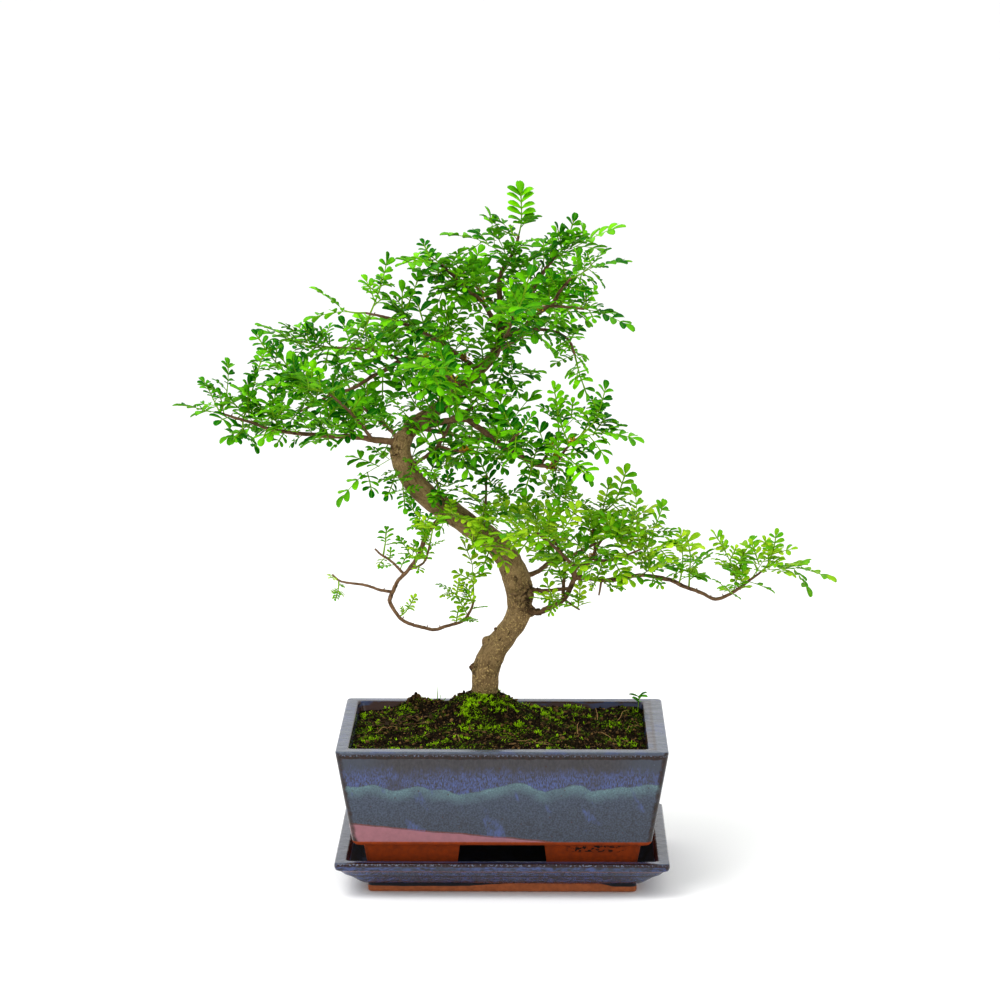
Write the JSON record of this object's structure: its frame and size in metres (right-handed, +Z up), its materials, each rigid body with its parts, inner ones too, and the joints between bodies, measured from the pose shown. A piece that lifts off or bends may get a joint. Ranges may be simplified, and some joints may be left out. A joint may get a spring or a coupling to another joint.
{
  "type": "japanese pepper bonsai",
  "caption": "Leafy S-shaped pepper tree in a rectangular glazed pot, standing on its matching saucer.",
  "frame": {"origin": "middle of the foot of the box round the whole tree, on the surface that the saucer stands on", "axes": "+Z up, +X to the right seen from the front, +Y to the back"},
  "size_m": [0.5202, 0.314, 0.5547],
  "materials": {
    "saucer_glaze": "gloss",
    "pot_glaze": "gloss",
    "drain_mesh": "matte",
    "soil": "matte",
    "bark": "matte",
    "leaf": "satin",
    "leaf_young": "satin"
  },
  "bodies": {
    "root": {"saucer": "saucer_glaze", "pot": "pot_glaze", "drain_mesh_left": "drain_mesh", "drain_mesh_right": "drain_mesh", "soil": "soil", "wood": "bark", "spray_01": "leaf", "spray_02": "leaf", "spray_03": "leaf", "spray_04": "leaf", "spray_05": "leaf", "spray_06": "leaf", "spray_07": "leaf", "spray_08": "leaf", "spray_09": "leaf", "spray_10": "leaf", "spray_11": "leaf", "spray_12": "leaf", "spray_13": "leaf", "spray_14": "leaf", "spray_15": "leaf", "spray_16": "leaf", "spray_17": "leaf", "spray_18": "leaf", "spray_19": "leaf", "spray_20": "leaf", "spray_21": "leaf", "spray_22": "leaf", "spray_23": "leaf", "spray_24": "leaf", "spray_25": "leaf", "spray_26": "leaf", "spray_27": "leaf", "spray_28": "leaf", "spray_29": "leaf", "spray_30": "leaf", "spray_31": "leaf", "spray_32": "leaf", "spray_33": "leaf_young", "spray_34": "leaf_young", "spray_35": "leaf_young", "spray_36": "leaf_young", "spray_37": "leaf_young", "spray_38": "leaf_young", "spray_39": "leaf_young", "spray_40": "leaf_young", "spray_41": "leaf_young", "spray_42": "leaf_young", "spray_43": "leaf_young", "spray_44": "leaf_young", "spray_45": "leaf_young", "spray_46": "leaf_young", "spray_47": "leaf_young", "spray_48": "leaf_young", "spray_49": "leaf_young", "spray_50": "leaf", "spray_51": "leaf", "spray_52": "leaf", "spray_53": "leaf", "spray_54": "leaf"}
  },
  "joints": []
}
